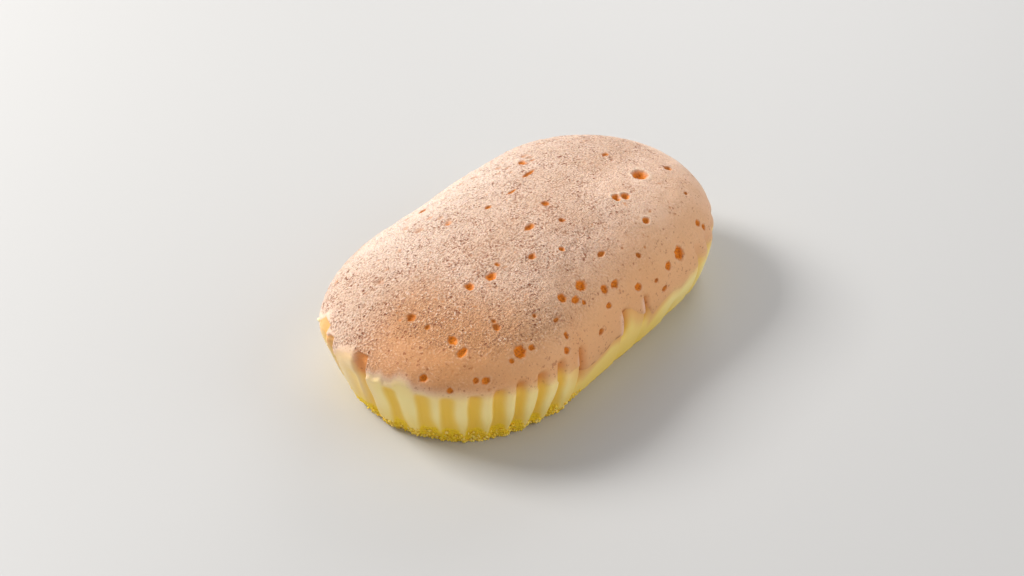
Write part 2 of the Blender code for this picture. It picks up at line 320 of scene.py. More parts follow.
def fold_relief(arc, height):
    """How low each place lies in its fold, 0 to 1, and its depth there."""
    distance, height = np.abs(arc) / mm, height / mm
    stretch = mix(FOOT_STRETCH, 1.0, ramp(height, STRETCH_FROM, STRETCH_TO))
    low, depth = np.zeros_like(distance), np.zeros_like(distance)
    for folds, here in ((SHOWN_FOLDS, arc >= 0), (HIDDEN_FOLDS, arc < 0)):
        table = np.array(folds)
        number = np.searchsorted(table[:, 0], distance + JUST_PAST, side="right") - 1
        for ahead in (0, 1):
            near = table[np.minimum(number + ahead, len(folds) - 1)].T
            edge, deep, groove, slope, drop, foot_share, begin, top, fade = near
            behind = (distance - edge) / stretch
            if ahead:
                share = ramp(behind, -drop, 0.0) * (behind <= 0)
            else:
                share = 1 - ramp(behind, groove, groove + slope)
            share = share * mix(foot_share, 1.0, ramp(height, begin, begin + FOOT_BLEND))
            share = share * (1 - ramp(height, top - fade, top))
            low = np.where(here, np.maximum(low, share * np.minimum(1.0, deep / FULL_DEPTH)), low)
            depth = np.where(here, np.maximum(depth, deep * share), depth)
    return low, depth * mm


probe = np.arange(-HALF_ROUND, HALF_ROUND, 0.1 * mm)
_, probe_depth = fold_relief(probe, np.full_like(probe, BRIM_HEIGHT_AT_SIDES))
print("deepest groove in mm:", round(probe_depth.max() / mm, 2))

# %% [markdown]
# ## Rows and columns of the surface
#
# The surface is woven from columns that climb the wall and rows that run round it. Each sharp
# edge gets a column of its own, and another just before its drop, so the mesh can be crisp there
# without being fine everywhere. The side in the picture gets the closer columns. Rows on the
# dome are spaced evenly along its profile. Towards the middle the columns crowd together, so
# every second one ends there, twice.

# %% Rows and columns
SHOWN_STEP, HIDDEN_STEP = 0.44 * mm, 0.60 * mm
LEAST_DROP = 0.3 * mm
SPARE_COLUMN = 3
WALL_ROWS = 44
DOME_ROWS = 130
MEAN_DOME_WIDTH, MEAN_DOME_HEIGHT = 54 * mm, 22 * mm
HALVE_AT = (0.70, 0.33)
PROFILE_SAMPLES = 4000


def side_columns(folds, step):
    """Distances from the near tip of one side's columns, with two at each sharp edge."""
    edges = [fold.edge * mm for fold in folds] + [HALF_ROUND + LEAST_DROP]
    distances = []
    for begin, end in zip(edges[:-1], edges[1:]):
        steps = max(2, round((end - begin - LEAST_DROP) / step))
        distances += list(np.linspace(begin, end - LEAST_DROP, steps + 1))
    return distances


def columns():
    """Arcs of all the columns, without the spare ones that would stop the two halvings."""
    shown = side_columns(SHOWN_FOLDS, SHOWN_STEP)
    hidden = side_columns(HIDDEN_FOLDS, HIDDEN_STEP)
    arcs = shown + [-distance for distance in reversed(hidden[1:-1])]
    for _ in range(len(arcs) % 4):
        arcs.pop(len(shown) - SPARE_COLUMN)
    return np.array(arcs)


def dome_reaches():
    """Reaches of the dome's rows, evenly spaced along the mean profile, from brim to middle."""
    reach = np.cos(np.linspace(0, math.pi / 2, PROFILE_SAMPLES))
    across = reach * MEAN_DOME_WIDTH
    up = dome_rise(reach) * MEAN_DOME_HEIGHT
    along = np.concatenate([[0.0], np.cumsum(np.hypot(np.diff(across), np.diff(up)))])
    return np.interp(np.linspace(0, along[-1], DOME_ROWS + 1), along, reach)[1:-1]


ARCS = columns()
REACHES = dome_reaches()
print("columns:", len(ARCS), "rows:", WALL_ROWS + 1 + len(REACHES))

# %% [markdown]
# ## Small unevenness
#
# Nothing on a cake is exact. Blender's noise function gives a smooth random height at any
# point, the same on every run. We use it at several sizes: slow swells of the dome, a sideways
# wander of the flutes, lumps, wrinkles and grain of the skin, and the torn crumb along the foot
# of the near end, which is rough at about a millimetre. Each has an amount and a size.

# %% Unevenness
SWELL, SWELL_SIZE = 0.35 * mm, 21 * mm
WANDER, WANDER_SIZE = 0.6 * mm, 9 * mm
FOOT_TUCK, FOOT_TUCK_HEIGHT = 0.8 * mm, 2.6 * mm
TEAR, TEAR_HEIGHT, TEAR_SIZE = 0.60 * mm, 4.4 * mm, 1.3 * mm
LUMP, LUMP_SIZE = 0.16 * mm, 3.6 * mm
WRINKLE, WRINKLE_SIZE = 0.16 * mm, 1.9 * mm
GRAIN, GRAIN_SIZE = 0.13 * mm, 1.25 * mm


def noise_at(points, size, offset=0.0):
    """Smooth noise from -1 to 1 at each point, with bumps of about the given size."""
    scaled = points / size + offset
    return np.array([noise.noise(Vector(point)) for point in scaled])


print("size of the grain in mm:", GRAIN_SIZE / mm)

# %% [markdown]
# ## Where the skin ends
#
# The brown skin laps down over the wall to a line that can be read off the picture: high at the
# round ends, low along the side, with a step at each fold where the case let go. Pairs of arc
# and height describe it, and np.interp joins them. Under the skin at the near tip the crumb
# swells out as a small ledge. Along the side the skin ends in a thin lip, which we build too.

# %% Skin line
SKIN_LINE = (
    (-176, 21), (-150, 20.5), (-125, 18), (-112, 15), (-101.2, 15.5), (-101, 20.5), (-97, 15),
    (-84.1, 14), (-83.9, 19), (-80, 14.5), (-67.1, 15), (-66.9, 20), (-60, 18.5), (-45, 20),
    (-29, 21.5), (-22, 25), (-20.8, 27.2), (-17, 26), (-16.8, 24.9), (-13.5, 25.6), (-13.3, 19.8),
    (-10.2, 24.0), (-5.6, 26.2), (-4.6, 24.0), (-3.4, 20.6), (-0.9, 20.4), (-0.7, 21.0),
    (0.5, 22.6), (2.0, 22.0), (4.0, 23.4), (4.9, 22.3), (6.8, 22.5), (7.6, 23.7), (8.9, 24.6),
    (10.3, 24.2), (11.5, 23.3), (12.4, 22.0), (18, 21.4), (23.4, 21.6), (32.5, 20.8), (44.7, 19.7),
    (56.7, 18.5), (56.9, 14.5), (61, 14.2), (66, 13.4), (72, 13.9), (75, 15.0), (80.4, 14.0), (80.6, 18.5),
    (83.1, 21.3), (85.1, 20.6), (87.5, 17.9), (90.9, 16.2), (91.1, 21.4), (92.8, 17.0), (95, 13),
    (99, 15.5), (105, 16.6), (110, 15), (115, 16.8), (122, 17.8), (140, 20), (176, 21),
)
CRISP_AT_FAR_END, CRISP_AT_CLUSTER = 0.3, 0.25
FIRST_FOLD = -0.75 * mm
NEAR_END_FROM, NEAR_END_TO = 48 * mm, 60 * mm


def skin_line(arc):
    places, heights = np.array(SKIN_LINE).T * mm
    return np.interp(arc, places, heights)


def crisp_border(arc):
    """1 where the skin ends in a crisp lip, 0 where it fades into the crumb."""
    hidden = mix(CRISP_AT_FAR_END, 1.0, ramp(arc, -160 * mm, -125 * mm))
    hidden = hidden * mix(1.0, CRISP_AT_CLUSTER, ramp(arc, -15 * mm, -12 * mm))
    shown = ramp(arc, 50 * mm, 58 * mm) * mix(1.0, CRISP_AT_FAR_END, ramp(arc, 98 * mm, 108 * mm))
    return np.where(arc < FIRST_FOLD, hidden, shown)


def near_end(arc):
    """1 at the near end, where the foot is torn, 0 along the sides and at the far end."""
    return 1 - ramp(np.abs(arc), NEAR_END_FROM, NEAR_END_TO)


print("skin line in mm: from", min(up for _, up in SKIN_LINE), "to", max(up for _, up in SKIN_LINE))

# %% [markdown]
# ## What each place looks like
#
# The finish has to know more than the shape: where the crumb is torn, where the skin is pale or
# brown, where a flap of it lifts. So every point gets a few numbers, mostly from 0 to 1, one
# for each look. A zone is a smooth rise and fall along the foot line or up the wall, and one
# zone times another is a soft patch. It is like painting masks by hand, but it can be repeated
# exactly, and the borders stay where the folds are. First come the tones of the skin.

# %% Tones of the skin
# Zones, each where it begins, is full, starts to fade and ends, in millimetres
SHOWN_SIDE = (0, 40, 108, 172)
TAN_TIP = (-14, 4, 18, 56)
# How pale the skin is in places: partly its own tone, partly painted light
PALE_AT_NEAR_TIP, LESS_PALE_FAR_ON, PALE_AND_LIT_FAR_BRIM = 0.35, 0.4, 0.6
WARM_BEHIND = 0.6


def bell(value, middle, width):
    return np.exp(-(((value - middle) / width) ** 2))


def zone(value, stops):
    """1 inside a zone and 0 outside it, with a smooth rise and fall."""
    begin, full, fade, end = (stop * mm for stop in stops)
    return ramp(value, begin, full) * (1 - ramp(value, fade, end))


def skin_tones(arc, place, rise, inland):
    """Where the skin is warm, tan or pale (partly painted light). Inland is 0 on the wall and 1 in the
    middle.
    """
    x, y, _ = place.T
    warm = zone(arc, SHOWN_SIDE) * (1 - ramp(inland, 0.03, 0.48))
    tan = zone(arc, TAN_TIP) * ramp(rise, 0.5 * mm, 4 * mm) * (1 - ramp(inland, 0.18, 0.5))
    # Paler towards the far side, which faces the key lamp, and on the far brim: partly painted light
    pale = ramp(y, -4 * mm, 34 * mm) * mix(PALE_AT_NEAR_TIP, 1.0, ramp(x, -62 * mm, -35 * mm))
    pale = pale * (1 - LESS_PALE_FAR_ON * ramp(x, 0.0, 40 * mm))
    far_brim = ramp(x, 50 * mm, 70 * mm) * (1 - ramp(inland, 0.0, 0.35))
    pale = np.maximum(pale, PALE_AND_LIT_FAR_BRIM * far_brim)
    behind = ramp(y, 28 * mm, 38 * mm) * (1 - ramp(inland, 0.05, 0.2)) * ramp(x, -50 * mm, -28 * mm)
    return {"warm": np.maximum(warm, WARM_BEHIND * behind), "tan": tan, "pale": pale * (1 - behind)}


print("the tan patch is", TAN_TIP[-1] - TAN_TIP[0], "mm long")

# %% [markdown]
# The wall has marks of its own. Along the near foot the crumb is torn, higher in the grooves
# than on the crests. Left of the near tip the crumb is creamy, with one brown pocket under a
# fold. Along the side that shows, the skin lifts in flaps: a painted highlight on the lip at
# each edge, a blush of brown and thin dark cracks below it, and a dark slit in the fold, brown
# that is partly painted shade.

# %% Marks of the wall
CREAM_CLUSTER = (-60, -30, -3, 4)
POCKET_ROUND, POCKET_UP = (-6, -2.5, -0.95, -0.75), (18.5, 21.5, 26.4, 28.0)
LONG_SIDE, UNDER_FLAPS, CRACKED_SIDE = (50, 56, 98, 108), (79, 81, 96, 102), (57, 60, 96, 104)
FLAP_EDGES, LIP_UP = (56.8 * mm, 80.5 * mm, 91.0 * mm), (12, 15, 20.5, 22.5)
TORN_RIDGE, TORN_GROOVE, TORN_WAVER, TORN_SIZE = 2.3 * mm, 5.6 * mm, 1.3 * mm, 1.6 * mm
TORN_ELSEWHERE, FULLY_GROOVED = 0.25, 2.2
CRACK_SIZE = 2.6 * mm
BLUSH_DEPTH, BLUSH_DEPTH_AT_FLAPS = 4 * mm, 7.5 * mm
BLUSH_AT_SOFT_BORDER, BLUSH_AT_CRISP_BORDER = 0.15, 0.9
LOW_LOST_FAR_ON, LOW_ALONG_SIDE = 0.45, 0.3


def wall_marks(arc, place, rise, low):
    """Where the crumb is torn, creamy or low in a groove, and the skin's end marks, with painted highlight
    and shade.
    """
    height = place[:, 2]
    torn_to = mix(TORN_RIDGE, TORN_GROOVE, np.clip(FULLY_GROOVED * low, 0, 1))
    torn_to = torn_to + TORN_WAVER * noise_at(place, TORN_SIZE, 21.0)
    torn = 1 - ramp(height, torn_to - 0.5 * mm, torn_to + 1.0 * mm)
    # The lip of each flap edge, where a painted highlight goes
    lip = np.zeros_like(arc)
    for edge in FLAP_EDGES:
        lip = np.maximum(lip, ramp(arc, edge - 2.4 * mm, edge - 0.3 * mm) * (arc <= edge))
    at_flaps = np.maximum(zone(arc, UNDER_FLAPS), 1 - ramp(arc, 60 * mm, 68 * mm))
    blush = 1 - ramp(-rise, 0.5 * mm, mix(BLUSH_DEPTH, BLUSH_DEPTH_AT_FLAPS, at_flaps))
    cracks = ramp(noise_at(place, CRACK_SIZE, 33.0), 0.0, 0.25) * bell(rise, 0.5 * mm, 0.4 * mm)
    along_side = zone(arc, LONG_SIDE)
    crisp = crisp_border(arc)
    low_share = low * (1 - LOW_LOST_FAR_ON * ramp(np.abs(arc), 95 * mm, 115 * mm))
    return {
        "low": np.maximum(low_share, LOW_ALONG_SIDE * along_side),
        "crisp": crisp,
        "torn": torn * mix(TORN_ELSEWHERE, 1.0, near_end(arc)),
        "pocket": zone(arc, POCKET_ROUND) * zone(height, POCKET_UP),
        "lip": lip * zone(height, LIP_UP),
        # Brown of the skin in the folds, darkest in the slit as painted shade
        "slit": low**2 * along_side * ramp(height, 9 * mm, 15 * mm),
        "blush": blush * mix(BLUSH_AT_SOFT_BORDER, BLUSH_AT_CRISP_BORDER, crisp),
        "crack": cracks * zone(arc, CRACKED_SIDE),
        "cream": zone(arc, CREAM_CLUSTER),
    }


def looks_of(arc, place, rise, low, inland):
    """All the looks of a row: the tones, the marks, where the skin is rough, and its rise in mm."""
    looks = {"rise": rise / mm}
    looks.update(skin_tones(arc, place, rise, inland))
    looks.update(wall_marks(arc, place, rise, low))
    near_left = ramp(arc, -75 * mm, -45 * mm) * (1 - 0.7 * ramp(arc, -10 * mm, 10 * mm))
    near_left = near_left * (1 - ramp(arc, 14 * mm, 40 * mm))
    rough = np.maximum(ramp(inland, 0.02, 0.20), near_left * ramp(rise, 0.3 * mm, 3 * mm))
    looks["rough"] = rough * (1 - looks["pocket"])
    return looks


print("flaps of skin:", len(FLAP_EDGES))

# %% [markdown]
# ## One row of points
#
# A row on the wall is given by its climb, from 0 at the foot to 1 at the brim, and a row on the
# dome by its reach. Each row begins as the plain form, with a few swellings that the real cake
# has in some places. Then every point is pushed outwards by the sum of all the reliefs: the
# folds, the lip of the skin, a ledge of crumb at the near tip, and the tuck and tear of the foot.

# %% Plain row
UP = np.array([[0.0, 0.0, 1.0]])
# Swellings of the brim: arc of the middle, half width, and how far it stands out more there
LOCAL_SWELLS = ((-63 * mm, 20 * mm, 1.0 * mm), (-112 * mm, 16 * mm, -0.4 * mm))
SIDE_SPREAD, SPREAD_SIDE = 1.2 * mm, (46, 58, 98, 122)


def plain_row(arc, climb, reach):
    """Places, outward directions and heights of a row of the plain form, and its brim's heights."""
    x, y, out_x, out_y = foot_line(arc)
    flat = np.stack([x, y, np.zeros_like(x)], 1)
    outward = np.stack([out_x, out_y, np.zeros_like(x)], 1)
    flare = brim_flare(x, y, out_x)
    for middle, width, amount in LOCAL_SWELLS:
        flare = flare + amount * bell(arc, middle, width)
    brim = brim_height(out_x)
    if reach is None:
        height = brim * climb
        stand = mix(SIDE_SPREAD * zone(arc, SPREAD_SIDE), flare, 1 - (1 - climb) ** FLARE_BEND)
        place = flat + outward * stand[:, None]
    else:
        height = mix(brim, CAKE_HEIGHT, dome_rise(reach))
        place = (flat + outward * flare[:, None]) * reach
    return place + UP * height[:, None], outward, height, brim


plain_brim, *_ = plain_row(ARCS, 1.0, None)
print("plain brim in mm:", np.round(np.ptp(plain_brim, axis=0)[:2] / mm, 1))

# %% [markdown]
# The reliefs are added up one by one, so that each can be read and changed alone. After the
# push outwards, the flutes wander a little sideways, and the dome gets its slow swells.

# %% Reliefs of a row
SKIN_LIP, LIP_RISE = 0.35 * mm, 0.3 * mm
LEDGE, LEDGE_ROUND, LEDGE_DOWN = 0.55 * mm, (-0.8, -0.2, 4.5, 9.5), 9 * mm
SHOULDER_BULGE, SHOULDER_ARC, SHOULDER_WIDTH = 1.3 * mm, -20 * mm, 8 * mm
FOOT_SPREAD, FOOT_SPREAD_ARC, FOOT_SPREAD_WIDTH = 1.2 * mm, 27 * mm, 13 * mm
FINE_TEAR, FINE_TEAR_OF_SIZE, TEAR_FADES_FROM, TEAR_ELSEWHERE = 0.6, 2.3, 0.4, 0.3


def relief(arc, place, height, brim, line, depth):
    """How far a row is pushed outwards from its plain form."""
    push = SKIN_LIP * crisp_border(arc) * ramp(height, line - LIP_RISE, line + 0.2 * mm) - depth
    ledge = zone(arc, LEDGE_ROUND) * (1 - ramp(height, line - LIP_RISE, line + LIP_RISE))
    push += LEDGE * ledge * ramp(height, line - LEDGE_DOWN, line)
    tuck = FOOT_TUCK - FOOT_SPREAD * bell(arc, FOOT_SPREAD_ARC, FOOT_SPREAD_WIDTH)
    push -= tuck * (1 - ramp(height, 0.0, FOOT_TUCK_HEIGHT))
    push += SHOULDER_BULGE * bell(arc, SHOULDER_ARC, SHOULDER_WIDTH) * bell(height, brim, SHOULDER_WIDTH)
    tear = noise_at(place, TEAR_SIZE) + FINE_TEAR * noise_at(place, TEAR_SIZE / FINE_TEAR_OF_SIZE, 7.0)
    tear = tear * (1 - ramp(height, TEAR_FADES_FROM * TEAR_HEIGHT, TEAR_HEIGHT))
    return push + TEAR * tear * mix(TEAR_ELSEWHERE, 1.0, near_end(arc))


def row_points(arc, climb, reach):
    """One row of the surface, and its looks."""
    place, outward, height, brim = plain_row(arc, climb, reach)
    line = skin_line(arc)
    low, depth = fold_relief(arc, height)
    push = relief(arc, place, height, brim, line, depth)
    if reach is None:
        place = place + outward * push[:, None]
        wander = WANDER * noise_at(place, WANDER_SIZE, 3.0) * ramp(height, 0.0, 6 * mm) * near_end(arc)
        place = place + np.cross(UP, outward) * wander[:, None]
        inland = np.zeros_like(arc)
    else:
        place = place + outward * (push * reach)[:, None]
        place = place + UP * (SWELL * noise_at(place, SWELL_SIZE) * (1 - reach**4))[:, None]
        inland = np.full_like(arc, 1 - reach)
    return place, looks_of(arc, place, height - line, low, inland)


foot_row, foot_looks = row_points(ARCS, 0.0, None)
print("foot in mm:", np.round(np.ptp(foot_row, axis=0)[:2] / mm, 1), "looks:", len(foot_looks))

# %% [markdown]
# ## Weave the surface
#
# Now the rows are joined with four-sided faces, and where the columns halve, three triangles
# join two steps below to one step above. The first row closes the flat base, and one point
# closes the top. The looks of all the rows are collected on the way, in the same order.

# %% Faces between two rows
def stitch(faces, lower, upper):
    """Adds the faces between two rows of point numbers. The upper row may have half the points."""
    count = len(lower)
    if len(upper) == count:
        for i in range(count):
            j = (i + 1) % count
            faces.append((lower[i], lower[j], upper[j], upper[i]))
        return
    for i in range(len(upper)):
        j = (i + 1) % len(upper)
        first, middle, last = lower[2 * i], lower[2 * i + 1], lower[(2 * i + 2) % count]
        faces += [(first, middle, upper[i]), (middle, upper[j], upper[i]), (middle, last, upper[j])]


pair = []
stitch(pair, [0, 1, 2, 3], [4, 5])
print("faces where four columns become two:", len(pair))


# %% Weave the surface
def all_rows():
    """Arcs, climb and reach of every row, from the foot to the middle of the dome."""
    arcs = ARCS
    rows = [(arcs, climb, None) for climb in np.linspace(0, 1, WALL_ROWS + 1)]
    halve = list(HALVE_AT)
    for reach in REACHES:
        if halve and reach < halve[0]:
            arcs = arcs[::2]
            halve.pop(0)
        rows.append((arcs, None, reach))
    return rows


def weave():
    """Points, faces and the values that travel with the points."""
    points, faces, values, total, below = [], [], {}, 0, None
    for arcs, climb, reach in all_rows():
        place, looks = row_points(arcs, climb, reach)
        numbers = list(range(total, total + len(place)))
        total += len(place)
        points.append(place)
        for name, kept in looks.items():
            values.setdefault(name, []).append(kept)
        if below is not None:
            stitch(faces, below, numbers)
        below = numbers
    points.append(np.array([[0.0, 0.0, points[-1][:, 2].mean()]]))
    for kept in values.values():
        kept.append(kept[-1][:1])
    faces += [(below[i], below[(i + 1) % len(below)], total) for i in range(len(below))]
    faces.append(tuple(reversed(range(len(ARCS)))))
    return np.concatenate(points), faces, {name: np.concatenate(kept) for name, kept in values.items()}


points, faces, values = weave()
middle = (points.min(0) + points.max(0)) / 2
points -= [middle[0], middle[1], 0.0]
print("woven points:", len(points), "middle in mm:", np.round(middle / mm, 2))

# %% [markdown]
# The points and faces become a mesh. Each look travels with its points as an attribute, a named
# number on every point, which later steps and the material can read.

# %% Mesh and attributes
cake_mesh = bpy.data.meshes.new("steamed_cake")
cake_mesh.from_pydata(points.tolist(), [], faces)


def keep_value(mesh, name, values):
    """Stores one number per point under a name that a material can read."""
    layer = mesh.attributes.new(name, "FLOAT", "POINT")
    layer.data.foreach_set("value", np.asarray(values, dtype=np.float32))


def read_value(mesh, name):
    values = np.empty(len(mesh.vertices), dtype=np.float32)
    mesh.attributes[name].data.foreach_get("value", values)
    return values


for name, kept in values.items():
    keep_value(cake_mesh, name, kept)
print("attributes:", sorted(values))

# %% [markdown]
# ## Burst bubbles
#
# While the cake steamed, bubbles rose under the skin and burst, and left small craters. About
# half show deep orange crumb, five of them with a raised rim that gets a painted highlight. The
# others are brown, and a few are only thin slits. They are listed by place along and across the
# cake, length and width in millimetres.

# %% Bubble places
ORANGE_BUBBLES = (
    (27.2, -38.9, 4.4, 4.2), (20.4, -39.4, 2.8, 2.6), (5.5, -38.6, 3.0, 2.4), (-2.3, -35.3, 3.4, 2.4),
    (-6.8, -34.8, 2.8, 2.6), (-13.7, -31.3, 4.2, 3.3), (-22.5, -31.1, 3.0, 2.9), (-18.9, -33.2, 3.4, 2.2),
    (-16.6, -34.6, 1.6, 1.5), (-8.2, -37.6, 2.2, 1.8), (-38.8, -10.9, 2.8, 2.8), (-32.1, -13.3, 3.5, 2.8),
    (-44.7, -33.2, 3.9, 3.6), (-41.2, -34.5, 2.0, 1.9), (-48.1, -33.0, 1.5, 1.5), (-56.3, -22.3, 3.8, 2.0),
    (-55.4, -18.2, 2.4, 3.1), (-31.4, -39.5, 2.3, 2.2), (-29.2, -37.6, 1.6, 2.2), (-56.4, -30.5, 2.7, 2.0),
    (-58.4, -28.6, 2.0, 1.8), (-66.7, -17.0, 2.5, 2.1), (-64.1, -24.2, 1.8, 1.8), (41.5, -36.2, 2.4, 2.2),
    (43.6, -37.2, 2.4, 2.0),
)
RIMMED_BUBBLES = (
    (39.7, -15.4, 6.0, 4.8), (22.8, -18.2, 3.2, 3.1), (25.5, -19.5, 3.2, 2.9), (23.1, -28.9, 2.8, 2.3),
    (-8.8, -20.8, 2.0, 1.9),
)
BROWN_BUBBLES = (
    (0.6, -28.3, 3.4, 1.8), (11.5, -34.2, 1.9, 1.9), (4.4, -5.1, 2.4, 2.8), (-8.4, -8.8, 4.1, 2.3),
    (1.2, -13.5, 2.2, 2.0), (-18.1, -17.1, 2.7, 2.4), (-27.2, -11.7, 1.5, 2.0), (-44.7, -25.1, 2.0, 2.4),
    (-43.9, -23.4, 1.3, 1.5), (-15.1, -39.9, 2.4, 2.0), (-29.3, -34.1, 2.3, 1.3), (16.1, -41.3, 2.4, 1.8),
    (13.3, -39.9, 1.8, 1.3), (15.3, 9.5, 5.6, 1.7), (20.8, 16.3, 2.6, 2.4), (41.7, -0.8, 3.4, 1.9),
    (53.0, -17.3, 3.0, 2.4), (-7.5, 7.4, 2.4, 1.5), (-20.2, 12.3, 1.8, 1.5), (-15.3, 26.3, 3.2, 1.8),
    (3.7, 7.1, 4.2, 1.0), (-34.0, -30.0, 1.4, 1.3), (47.0, -28.0, 1.7, 1.4), (-56.2, -10.0, 1.8, 1.7),
    (-56.1, -4.1, 2.7, 2.7),
)
print("listed bubbles:", len(ORANGE_BUBBLES + RIMMED_BUBBLES + BROWN_BUBBLES))

# %% [markdown]
# ## Put the bubbles on the skin
#
# Casting a ray straight down finds each bubble's point on the skin and the direction that the
# skin faces there. Besides the listed bubbles there are many pits, mostly smaller, which are
# placed at random in four areas. A seed makes the random numbers the same on every run.

# %% A bubble on the skin
CAST_HEIGHT = 100 * mm
NEARBY = 2.25


class Bubble:
    """One crater: its middle, the skin's direction there, its half sizes, and what it looks like."""

    def __init__(self, skin, x, y, length, width, orange, rim, strength=1.0):
        hit, normal, _, _ = skin.ray_cast(Vector((x, y, CAST_HEIGHT)), Vector((0.0, 0.0, -1.0)))
        if hit is None:
            hit, normal, _, _ = skin.find_nearest(Vector((x, y, BRIM_HEIGHT_AT_ENDS)))
        along = Vector((1.0, 0.0, 0.0)) - normal * normal.x
        self.middle, self.normal = np.array(hit), np.array(normal)
        self.along = np.array(along.normalized())
        self.across = np.cross(self.normal, self.along)
        self.half_length, self.half_width = length / 2, width / 2
        self.orange, self.rim, self.strength = orange, rim, strength

    def spread(self, places):
        """Distance of each place from the middle, in half sizes of this bubble."""
        gap = places - self.middle
        return np.hypot(gap @ self.along / self.half_length, gap @ self.across / self.half_width)

    def nearby(self, places):
        reach = NEARBY * max(self.half_length, self.half_width)
        return np.flatnonzero(((places - self.middle) ** 2).sum(1) < reach * reach)


print("a bubble reaches", NEARBY, "half sizes from its middle")

# %% [markdown]
# The listed sizes are those of the dark inside, and the bowl round it is a little wider. Large
# bubbles are a deeper orange than small ones. A pit has a strength below 1, so its colour is
# fainter than that of a bubble.

# %% Place the bubbles
# Each group with how orange its crumb is, and how much of a raised rim it has, with its painted highlight
BUBBLE_GROUPS = ((ORANGE_BUBBLES, 1.0, 0.2), (RIMMED_BUBBLES, 0.8, 1.0), (BROWN_BUBBLES, 0.4, 0.15))
WIDER = 1.12
TONE_OF_SMALL, TONE_PER_MM = 0.5, 0.12
# Pits at random places: count, range along, range across, least and greatest size in millimetres
SCATTERED_PITS = (
    (26, -52, 56, 12, 33, 1.4, 3.0),
    (46, -56, 58, -32, 30, 0.7, 1.2),
    (34, -50, 40, -39, -20, 0.7, 1.2),
    (70, -64, -26, -34, 8, 0.6, 1.1),
)
PIT_SEED, PIT_RIM = 3, 0.1


def listed_bubbles(skin):
    bubbles = []
    for group, orange, rim in BUBBLE_GROUPS:
        for x, y, length, width in group:
            tone = orange * min(1.0, TONE_OF_SMALL + TONE_PER_MM * length)
            sizes = WIDER * length * mm, WIDER * width * mm
            bubbles.append(Bubble(skin, x * mm, y * mm, *sizes, tone, rim))
    return bubbles


def random_pits(skin):
    draw = random.Random(PIT_SEED)
    pits = []
    for count, low_x, high_x, low_y, high_y, least, most in SCATTERED_PITS:
        for _ in range(count):
            x, y = draw.uniform(low_x, high_x) * mm, draw.uniform(low_y, high_y) * mm
            size = draw.uniform(least, most)
            narrow = size * draw.uniform(0.6, 1.0)
            strength = draw.uniform(0.3, 0.8)
            pits.append(Bubble(skin, x, y, size * mm, narrow * mm, draw.random(), PIT_RIM, strength))
    return pits


shape = bmesh.new()
shape.from_mesh(cake_mesh)
skin_tree = BVHTree.FromBMesh(shape)
large_bubbles, pits = listed_bubbles(skin_tree), random_pits(skin_tree)
print("bubbles:", len(large_bubbles), "pits:", len(pits))

# %% [markdown]
# ## Give the bubbles finer mesh
#
# A crater two millimetres wide needs more points than the rest of the skin. So the edges under
# each listed bubble are cut once more before anything is pushed in. The random pits are fainter,
# and would cost many points for little, so they share the mesh as it is.

# %% Finer mesh under the bubbles
CRATER_REACH = 1.5


def all_points(mesh):
    flat = np.empty(3 * len(mesh.vertices), dtype=np.float32)
    mesh.vertices.foreach_get("co", flat)
    return flat.reshape(-1, 3).astype(float)


def refine(shape, places, bubbles):
    near = set()
    for bubble in bubbles:
        close = bubble.nearby(places)
        near.update(close[bubble.spread(places[close]) < CRATER_REACH].tolist())
    edges = [edge for edge in shape.edges if near.issuperset(vert.index for vert in edge.verts)]
    bmesh.ops.subdivide_edges(shape, edges=edges, cuts=1, use_grid_fill=True)


refine(shape, all_points(cake_mesh), large_bubbles)
shape.to_mesh(cake_mesh)
shape.free()
print("points now:", len(cake_mesh.vertices))

# %% [markdown]
# ## Press the craters and the grain
#
# Each crater is a shallow bowl with an uneven outline, sometimes with a raised rim. Between the
# craters the skin has slow lumps, fine wrinkles and a pebbly grain of about a millimetre, which
# is strongest on top and dies away towards the rim and the smooth right side. All of it is
# pushed along the skin's own direction, and the shares of crater, rim and grain are kept for
# the finish.

# %% Press the craters
CRATER_DEPTH_OF_WIDTH = 0.30
RIM_HEIGHT = 0.14 * mm
UNEVEN_OUTLINE, UNEVEN_OUTLINE_SIZE, EVENER_WITH_RIM = 0.34, 0.9 * mm, 0.6


def press_craters(places, bubbles):
    """How far the craters push each place, and its shares of crater, rim and orange."""
    push, crater, rim, orange = np.zeros((4, len(places)))
    for number, bubble in enumerate(bubbles):
        near = bubble.nearby(places)
        uneven = UNEVEN_OUTLINE * (1 - EVENER_WITH_RIM * bubble.rim)
        wobble = uneven * noise_at(places[near], UNEVEN_OUTLINE_SIZE, number)
        spread = bubble.spread(places[near]) * (1 + wobble)
        bowl = 1 - ramp(spread, 0.3, 1.05)
        depth = CRATER_DEPTH_OF_WIDTH * 2 * min(bubble.half_length, bubble.half_width)
        ring = ramp(spread, 0.85, 1.08) * (1 - ramp(spread, 1.08, 1.45))
        push[near] = np.minimum(push[near], -depth * bowl) + RIM_HEIGHT * bubble.rim * ring
        crater[near] = np.maximum(crater[near], bubble.strength * (1 - ramp(spread, 0.6, 1.15)))
        rim[near] = np.maximum(rim[near], ring * bubble.rim)
        orange[near] = np.maximum(orange[near], bubble.orange * (spread < 1.4))
    return push, crater, rim, orange


narrowest = [2 * min(bubble.half_length, bubble.half_width) for bubble in large_bubbles]
print("deepest crater in mm:", round(CRATER_DEPTH_OF_WIDTH * max(narrowest) / mm, 2))

# %% Press the grain
BASE_BAND = 0.05 * mm
LESS_GRAIN_RIGHT, LESS_GRAIN_FAR_RIGHT = 0.6, 0.5
WRINKLE_BIAS = 0.3
FINE_GRAIN, FINE_GRAIN_OF_SIZE = 0.5, 1.9


def all_normals(mesh):
    flat = np.empty(3 * len(mesh.vertices), dtype=np.float32)
    mesh.vertex_normals.foreach_get("vector", flat)
    return flat.reshape(-1, 3).astype(float)


